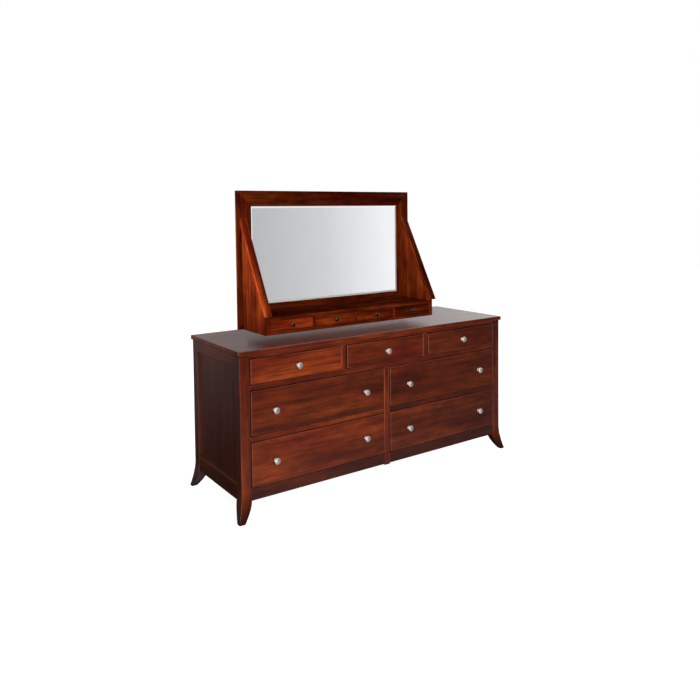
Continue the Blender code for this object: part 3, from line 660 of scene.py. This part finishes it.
def makeGlass():
    # A flat field inside a bevel, which starts at the frame's lip and catches light from the set's edges.
    low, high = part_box("mirror_glass")
    lip, rim = mirrorWork["rabbet"], low.y + glassWork["rise"]
    shape = bmesh.new()
    rings = []
    for inset, y in ((0.0, high.y), (0.0, rim), (lip, rim), (lip + glassWork["bevel"], low.y)):
        x0, x1, z0, z1 = low.x + inset, high.x - inset, low.z + inset, high.z - inset
        rings.append([shape.verts.new((x, y, z)) for x, z in ((x0, z0), (x1, z0), (x1, z1), (x0, z1))])
    for near, far in zip(rings, rings[1:]):
        for i in range(4):
            j = (i + 1) % 4
            facet = shape.faces.new((near[i], near[j], far[j], far[i]))
            facet.material_index = glassWork["facets"][i] if far is rings[-1] else glassWork["back"]
    shape.faces.new(rings[0]).material_index = glassWork["back"]
    shape.faces.new(rings[-1])
    bmesh.ops.recalc_face_normals(shape, faces=shape.faces)
    mesh = bpy.data.meshes.new("mirror_glass_plate")
    shape.to_mesh(mesh)
    shape.free()
    for material in glassWork["finishes"]:
        mesh.materials.append(material)
    finishPiece(bpy.data.objects.new("mirror_glass_plate", mesh), "mirror_glass")


deckWork = {"board": 0.017, "clearance": 0.0012, "ease": 0.0016, "dividerEase": 0.0008}


def makeDeck():
    low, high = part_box("deck_case")
    board, gap = deckWork["board"], deckWork["clearance"]
    shape = startShape()
    addBoard(shape, low, (high.x, high.y, low.z + board), axisX, axisZ, deckWork["ease"])
    trays = [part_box(f"deck_drawer_{number}") for number in (1, 2, 3, 4)]
    edges = [low.x] + [x for a, b in trays for x in (a.x - gap, b.x + gap)] + [high.x]
    for x0, x1 in zip(edges[::2], edges[1::2]):
        near, far = (x0, low.y, low.z + board), (x1, high.y, high.z - board)
        addBoard(shape, near, far, axisZ, axisX, deckWork["dividerEase"])
    finishShape("deck_boards", shape, cherryOiled, "deck_case")
    shape = startShape()
    shelfLow = (low.x, low.y, high.z - board)
    addBoard(shape, shelfLow, high, axisX, axisZ, deckWork["ease"], tone=boardStainAndPaintedShade["deck_shelf"])
    finishShape("shelf_board", shape, cherryOiled, "deck_case")


# capEdgeHighlight: painted highlight, a paler tone along the caps' eased edges
wingWork = {"foot": 0.097, "ease": 0.0018, "cap": 0.020, "capEase": 0.0036, "seat": 0.0003,
            "capEdgeHighlight": {"left": 2.0, "right": 5.0}}  # cap: its thickness; seat: the gap under it


def makeWing(side):
    node = f"deck_side_{side}"
    low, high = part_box(node)
    foot = Vector((low.x, low.y, low.z + wingWork["foot"]))
    head = Vector((low.x, high.y, high.z))
    near = [Vector((low.x, low.y, low.z)), Vector((low.x, high.y, low.z)), head, foot]
    depth = axisX * (high.x - low.x)
    shape = startShape()
    addPrism(shape, near, depth, axisZ, axisX, wingWork["ease"], tone=boardStainAndPaintedShade[node])
    finishShape(node + "_board", shape, cherryOiled, node)

    node = f"wing_cap_{side}"
    low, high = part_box(node)
    slope = (head - foot).normalized()
    square = slope.cross(axisX)
    if square.y > 0:
        square = -square
    rise = (head.z - foot.z) / (head.y - foot.y)
    reach = wingWork["seat"] / -square.y  # how far in front of the board the cap's two faces stand
    far = (wingWork["seat"] + wingWork["cap"]) / -square.y
    near = [
        Vector((low.x, foot.y - reach, foot.z)),
        Vector((low.x, head.y, foot.z + (head.y - foot.y + reach) * rise)),
        Vector((low.x, head.y, foot.z + (head.y - foot.y + far) * rise)),
        Vector((low.x, foot.y - far, foot.z)),
    ]
    depth = axisX * (high.x - low.x)
    ease, edgeHighlight = wingWork["capEase"], wingWork["capEdgeHighlight"][side]
    shape = startShape()
    addPrism(shape, near, depth, slope, square, ease, segments=2, tone=boardStainAndPaintedShade[node], edgeHighlight=edgeHighlight)
    finishShape(node + "_strip", shape, cherryOiled, node)


smallWork = {"front": 0.014, "sideGap": 0.0008, "footGap": 0.0017, "wall": 0.008, "bottom": 0.005,
             "groove": 0.004, "drop": 0.004, "ease": 0.0024, "trayEase": 0.0008}


def makeSmallDrawer(number):
    node = f"deck_drawer_{number}"
    low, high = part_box(node)
    shape = startShape()
    frontLow = (low.x + smallWork["sideGap"], low.y, low.z + smallWork["footGap"])
    frontHigh = (high.x - smallWork["sideGap"], low.y + smallWork["front"], high.z)
    tone = boardStainAndPaintedShade[node]
    addBoard(shape, frontLow, frontHigh, axisX, axisY, smallWork["ease"], segments=4, tone=tone)
    finishShape(f"small_drawer_{number}_front", shape, cherryOiled, node)
    shape = startShape()
    wall, ease = smallWork["wall"], smallWork["trayEase"]
    top = high.z - smallWork["drop"]
    y0 = low.y + smallWork["front"]
    for x0 in (low.x, high.x - wall):
        addBoard(shape, (x0, y0, low.z), (x0 + wall, high.y, top), axisY, axisX, ease, segments=2)
    backLow, backHigh = (low.x + wall, high.y - wall, low.z), (high.x - wall, high.y, top)
    addBoard(shape, backLow, backHigh, axisX, axisY, ease, segments=2)
    inset = wall - smallWork["groove"]
    panelHigh = (high.x - inset, high.y - inset, low.z + smallWork["bottom"])
    addBoard(shape, (low.x + inset, y0, low.z), panelHigh, axisX, axisZ, ease=0.0)
    tray = finishShape(f"small_drawer_{number}_tray", shape, maple, node)


# Knobs: a mushroom profile turned about its axis

knobWork = {  # at the large knobs' size; the small knobs are the same shape, scaled to their length
    "radius": 0.0155, "length": 0.026, "dome": 0.0075, "head": 0.012, "stem": 0.0058, "rose": 0.0095,
    "roseHeight": 0.0035, "roseRound": 1 / 3, "steps": 56, "arc": 12, "sharpAngle": 60,  # angle in degrees
    "axisHole": 0.00001, "weld": 0.00005,
}


def turnedTree():
    tree, given = startTree("turnedKnob", (
        ("Geometry", "Geometry"), ("Steps", "Int"), ("Axis Hole", "Float"), ("Weld", "Float"),
        ("Centre", "Vector"), ("Turn", "Vector"), ("Finish", "Material"),
    ))
    feeds = {"Radius": given["Axis Hole"], "Resolution": given["Steps"]}
    ring = addNode(tree, "GeometryNodeCurvePrimitiveCircle", None, feeds).outputs[0]
    feeds = {"Curve": ring, "Profile Curve": given["Geometry"]}
    swept = addNode(tree, "GeometryNodeCurveToMesh", None, feeds).outputs[0]
    feeds = {"Geometry": swept, "Distance": given["Weld"]}
    closed = addNode(tree, "GeometryNodeMergeByDistance", None, feeds).outputs[0]
    feeds = {"Geometry": closed, "Translation": given["Centre"], "Rotation": given["Turn"]}
    placed = addNode(tree, "GeometryNodeTransform", None, feeds).outputs[0]
    return endTree(tree, placed, given["Finish"])


def knobProfile(scale):
    # Radius and height pairs, from the middle of the dome down the outer side to the rose.
    radius, stem, length = (knobWork[key] * scale for key in ("radius", "stem", "length"))
    rim = length - knobWork["dome"] * scale
    neck = length - knobWork["head"] * scale
    rose, roseTop = knobWork["rose"] * scale, knobWork["roseHeight"] * scale
    count = knobWork["arc"]
    angles = [i * math.pi / 2 / count for i in range(count + 1)]
    dome = [(radius * math.sin(a), rim + (length - rim) * math.cos(a)) for a in angles]
    under = [(stem + (radius - stem) * math.cos(a), rim - (rim - neck) * math.sin(a)) for a in angles[1:]]
    soft = roseTop * knobWork["roseRound"]
    foot = [(stem, roseTop + soft), (stem + soft, roseTop), (rose - soft, roseTop), (rose, roseTop - soft),
            (rose, 0.0), (0.0, 0.0)]
    return dome + under + foot


def makeKnob(node, material, tree):
    low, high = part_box(node)
    points = knobProfile((high.y - low.y) / knobWork["length"])
    profile = bpy.data.curves.new(node + "_profile", "CURVE")
    profile.dimensions = "3D"
    line = profile.splines.new("POLY")
    line.points.add(len(points) - 1)
    for point, (radius, height) in zip(line.points, points):
        point.co = (radius, -height, 0.0, 1.0)
    values = {
        "Steps": knobWork["steps"], "Axis Hole": knobWork["axisHole"], "Weld": knobWork["weld"],
        "Centre": Vector(((low.x + high.x) / 2, high.y, (low.z + high.z) / 2)),
        "Turn": (math.pi / 2, 0.0, 0.0), "Finish": material,
    }
    mesh = bakeTree(node + "_turned", tree, values, profile)
    mesh.shade_smooth()
    mesh.set_sharp_from_angle(angle=math.radians(knobWork["sharpAngle"]))
    finishPiece(bpy.data.objects.new(node + "_turned", mesh), node)


makeTop()
makeFrontFrame()
for side in ("left", "right"):
    makeSide(side)
    makeWing(side)
makePosts()
print("case made")
for name in drawerNames:
    makeDrawer(name)
for number in (1, 2, 3, 4):
    makeSmallDrawer(number)
makeDeck()
makeMirror()
makeGlass()
print("drawers, deck and mirror made")
knobTree = turnedTree()
for node in sorted(nodeBody):
    if node.startswith("knob_"):
        makeKnob(node, nickel, knobTree)
    elif node.startswith("deck_knob_"):
        makeKnob(node, pewter, knobTree)
print("knobs made")

keptNodes = {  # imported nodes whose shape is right, with their finish
    "mirror_backing": plywood, "back_panel": plywood,
    "upper_web_frame": mapleInside, "middle_web_frame": mapleInside, "lower_web_frame": mapleInside,
}
for node, material in keptNodes.items():
    for holder in frame["nodes"][node].material_slots:
        holder.material = material

# The top and the glass then show the plain walls and the shelf, and not the rest of the mirror and its deck
unreflected = ("mirror_", "deck_", "wing_", "small_")
for obj in bpy.data.objects:
    if obj.name.startswith(unreflected):
        obj.visible_glossy = False


# Screws: rings of small heads that hold the thin boards at the back

screwWork = {  # head and top: the radii of a head's foot and of its flat; pitch: from screw to screw
    "head": 0.0038, "top": 0.0030, "rise": 0.0007, "sides": 20, "inset": 0.011, "pitch": 0.13,
}


def screwTree():
    tree, given = startTree("screwRing", (
        ("Width", "Float"), ("Height", "Float"), ("Count", "Int"), ("Sides", "Int"), ("Head", "Float"),
        ("Top", "Float"), ("Rise", "Float"), ("Centre", "Vector"), ("Finish", "Material"),
    ))
    feeds = {"Width": given["Width"], "Height": given["Height"]}
    border = addNode(tree, "GeometryNodeCurvePrimitiveQuadrilateral", None, feeds).outputs[0]
    feeds = {"Curve": border, "Count": given["Count"]}
    spots = addNode(tree, "GeometryNodeCurveToPoints", None, feeds).outputs[0]
    feeds = {"Vertices": given["Sides"], "Radius Top": given["Top"], "Radius Bottom": given["Head"],
             "Depth": given["Rise"]}
    head = addNode(tree, "GeometryNodeMeshCone", None, feeds).outputs[0]
    feeds = {"Points": spots, "Instance": head}
    heads = addNode(tree, "GeometryNodeInstanceOnPoints", None, feeds).outputs[0]
    feeds = {"Geometry": heads, "Translation": given["Centre"], "Rotation": (-math.pi / 2, 0.0, 0.0)}
    placed = addNode(tree, "GeometryNodeTransform", None, feeds).outputs[0]
    return endTree(tree, placed, given["Finish"])


def makeScrews(node, tree):
    low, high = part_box(node)
    wide, tall = high.x - low.x - 2 * screwWork["inset"], high.z - low.z - 2 * screwWork["inset"]
    values = {
        "Width": wide, "Height": tall, "Count": round(2 * (wide + tall) / screwWork["pitch"]),
        "Sides": screwWork["sides"], "Head": screwWork["head"], "Top": screwWork["top"],
        "Rise": screwWork["rise"], "Centre": ((low.x + high.x) / 2, high.y, (low.z + high.z) / 2),
        "Finish": pewter,
    }
    screws = bpy.data.objects.new(node + "_screws", bakeTree(node + "_screws", tree, values))
    bpy.context.scene.collection.objects.link(screws)
    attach(screws, nodeBody[node])


ringTree = screwTree()
for node in ("back_panel", "mirror_backing"):
    makeScrews(node, ringTree)
print("screws made")


# Floor, light and camera

studio = {
    "floorRadius": 14.0, "floorSides": 64, "floorColour": "#E6E6E6", "floorRoughness": 0.9,
    "floorLift": 0.90,  # glow of the floor, for the camera alone
    "floorGlow": 0.38, "ceiling": 0.90, "glassEdge": 1.0,  # levels below, above, and past the glass's wall
    "ramps": {  # levels of the walls round the set, by a direction's x
        "rear": ((-1.0, 0.5), (-0.50, 0.05), (-0.43, 0.09), (-0.35, 0.24), (0.0, 0.4), (0.36, 0.34),
                 (0.46, 0.30), (0.53, 0.32), (0.60, 0.48), (0.68, 0.76), (0.74, 0.88), (1.0, 0.8)),
        "front": ((-1.0, 0.4), (-0.72, 0.6), (-0.64, 4.0), (-0.36, 4.0), (-0.28, 0.20), (0.30, 0.05),
                  (0.80, 0.04), (0.92, 0.4), (1.0, 0.5)),
        "glass": ((-1.0, 0.7), (-0.3, 0.62), (0.1, 0.9), (0.36, 1.0), (0.41, 0.465), (0.47, 0.54),
                  (0.542, 0.665), (0.62, 0.95), (0.65, 0.97), (0.70, 0.62), (1.0, 0.6)),
    },
    "steps": {  # a direction's axis, where a change along it starts and ends, and its values there
        "behind": ("Y", -0.15, 0.15, 0.0, 1.0), "low": ("Z", -0.34, -0.17, 0.08, 1.0),
        "floor": ("Z", -0.42, -0.26, 1.0, 0.0), "ceiling": ("Z", 0.45, 0.75, 0.0, 1.0),
        "fill": ("Z", -0.3, 0.3, 0.04, 0.20),
        "glassFoot": ("Z", -0.20, -0.16, 1.0, 0.0), "glassHead": ("Z", 0.12, 0.26, 0.0, 1.0),
    },
}


def makeFloor():  # matt white paint, with a glow for the camera alone, so that it looks as white as the walls
    mesh = bpy.data.meshes.new("floor")
    shape = bmesh.new()
    sides, radius = studio["floorSides"], studio["floorRadius"]
    bmesh.ops.create_circle(shape, cap_ends=True, segments=sides, radius=radius)
    shape.to_mesh(mesh)
    shape.free()
    floor = bpy.data.objects.new("floor", mesh)
    bpy.context.scene.collection.objects.link(floor)
    material, tree, shader = newMaterial("floor_matt_white")
    shader.inputs["Base Color"].default_value = toLinear(studio["floorColour"])
    shader.inputs["Roughness"].default_value = studio["floorRoughness"]
    rays = addNode(tree, "ShaderNodeLightPath").outputs["Is Camera Ray"]
    lift = addNode(tree, "ShaderNodeMath", times, {0: rays, 1: studio["floorLift"]}).outputs[0]
    feeds = {"Color": (1, 1, 1, 1), "Strength": lift}
    glow = addNode(tree, "ShaderNodeEmission", None, feeds).outputs[0]
    both = addNode(tree, "ShaderNodeAddShader", None, {0: shader.outputs[0], 1: glow}).outputs[0]
    tree.links.new(both, tree.nodes["Material Output"].inputs["Surface"])
    mesh.materials.append(material)
    floor.visible_glossy = False
    floor.visible_diffuse = False  # as a black cloth would, this keeps the floor's bounce off the dark ends


def makeWorld():
    # White to the camera; satin finishes see dim walls and a bright strip at the left, the glass a grey wall.
    world = bpy.data.worlds.new("studio")
    bpy.context.scene.world = world
    world.use_nodes = True
    tree = world.node_tree
    tree.nodes.clear()
    direction = addNode(tree, "ShaderNodeTexCoord").outputs["Generated"]
    ways = addNode(tree, "ShaderNodeSeparateXYZ", None, {0: direction}).outputs
    feeds = {"Value": ways["X"], "From Min": -1.0}
    sideways = addNode(tree, "ShaderNodeMapRange", None, feeds).outputs["Result"]
    walls = {}
    for name, levels in studio["ramps"].items():
        ramp = addNode(tree, "ShaderNodeValToRGB", None, {0: sideways})
        stops = ramp.color_ramp.elements
        while len(stops) < len(levels):
            stops.new(1.0)
        for stop, (x, level) in zip(stops, levels):
            stop.position = (x + 1) / 2
            stop.color = (level, level, level, 1)
        walls[name] = ramp.outputs[0]
    steps = {}
    for name, (axis, start, end, low, high) in studio["steps"].items():
        feeds = {"Value": ways[axis], "From Min": start, "From Max": end, "To Min": low, "To Max": high}
        steps[name] = addNode(tree, "ShaderNodeMapRange", smooth, feeds).outputs["Result"]
    rear = addNode(tree, "ShaderNodeMath", times, {0: walls["rear"], 1: steps["low"]}).outputs[0]
    glass = walls["glass"]
    for name in ("glassFoot", "glassHead"):
        feeds = {0: steps[name], 2: glass, 3: studio["glassEdge"]}
        glass = addNode(tree, "ShaderNodeMix", None, feeds).outputs[0]
    rays = addNode(tree, "ShaderNodeLightPath").outputs
    level = walls["front"]
    for share, other in ((steps["floor"], studio["floorGlow"]), (steps["behind"], rear),
                         (steps["ceiling"], studio["ceiling"]), (rays["Is Singular Ray"], glass)):
        level = addNode(tree, "ShaderNodeMix", None, {0: share, 2: level, 3: other}).outputs[0]
    feeds = {0: rays["Is Glossy Ray"], 2: steps["fill"], 3: level}
    level = addNode(tree, "ShaderNodeMix", None, feeds).outputs[0]
    level = addNode(tree, "ShaderNodeMix", None, {0: rays["Is Camera Ray"], 2: level, 3: 1.0}).outputs[0]
    feeds = {"Color": (1, 1, 1, 1), "Strength": level}
    glow = addNode(tree, "ShaderNodeBackground", None, feeds).outputs[0]
    addNode(tree, "ShaderNodeOutputWorld", None, {"Surface": glow})


# Power in watts and spread in degrees. No lamp shows in a reflection, where the walls show instead.
lamps = {
    "key": {"place": (-0.95, -2.75, 1.15), "aim": (-0.3, -0.2, 0.5), "size": 1.3, "power": 50.0,
            "spread": 180, "colour": "#FFF4E8"},
    "back": {"place": (1.5, 3.3, 1.6), "aim": (0.0, 0.2, 0.7), "size": 1.6, "power": 40.0,
             "spread": 180, "colour": "#FFFFFF"},
    "right": {"place": (3.4, -0.3, 1.4), "aim": (0.8, 0.0, 0.6), "size": 1.4, "power": 20.0,
              "spread": 180, "colour": "#FFFFFF"},
    "mirrorSide": {"place": (-3.4, 0.1, 1.25), "aim": (-0.5, 0.1, 1.13), "size": 0.4, "power": 1.6,
                   "spread": 17, "colour": "#FFFFFF"},
}


def makeLamps():
    for name, lamp in lamps.items():
        light = bpy.data.lights.new(name, "AREA")
        light.shape = "DISK"
        light.size = lamp["size"]
        light.energy = lamp["power"]
        light.spread = math.radians(lamp["spread"])
        light.color = toLinear(lamp["colour"])[:3]
        obj = bpy.data.objects.new(name, light)
        obj.location = lamp["place"]
        aim = Vector(lamp["aim"]) - Vector(lamp["place"])
        obj.rotation_euler = aim.to_track_quat("-Z", "Y").to_euler()
        obj.visible_camera = False
        obj.visible_glossy = False
        bpy.context.scene.collection.objects.link(obj)


view = {  # degrees; focal length and shift in pixels of a frame 700 pixels wide; sensor in millimetres
    "place": (-2.1364, -3.01165, 1.3926), "yaw": 34.882, "pitch": -2.613, "roll": -0.636,
    "focal": 680.42, "shift": -106.65, "frame": 700.0, "sensor": 36.0,
}


def makeCamera():
    yaw, pitch, roll = (math.radians(view[key]) for key in ("yaw", "pitch", "roll"))
    ahead = Vector((math.sin(yaw) * math.cos(pitch), math.cos(yaw) * math.cos(pitch), math.sin(pitch)))
    right = Vector((math.cos(yaw), -math.sin(yaw), 0.0))
    up = right.cross(ahead)
    rightward = right * math.cos(roll) + up * math.sin(roll)
    upward = up * math.cos(roll) - right * math.sin(roll)
    lens = bpy.data.cameras.new("camera")
    lens.sensor_width = view["sensor"]
    lens.lens = view["focal"] / view["frame"] * view["sensor"]
    lens.shift_y = view["shift"] / view["frame"]
    camera = bpy.data.objects.new("camera", lens)
    turn = Matrix((rightward, upward, -ahead)).transposed()
    camera.matrix_world = Matrix.Translation(view["place"]) @ turn.to_4x4()
    bpy.context.scene.collection.objects.link(camera)
    bpy.context.scene.camera = camera


makeFloor()
makeWorld()
makeLamps()
makeCamera()
bpy.context.scene.view_settings.view_transform = "Standard"
print("studio set")
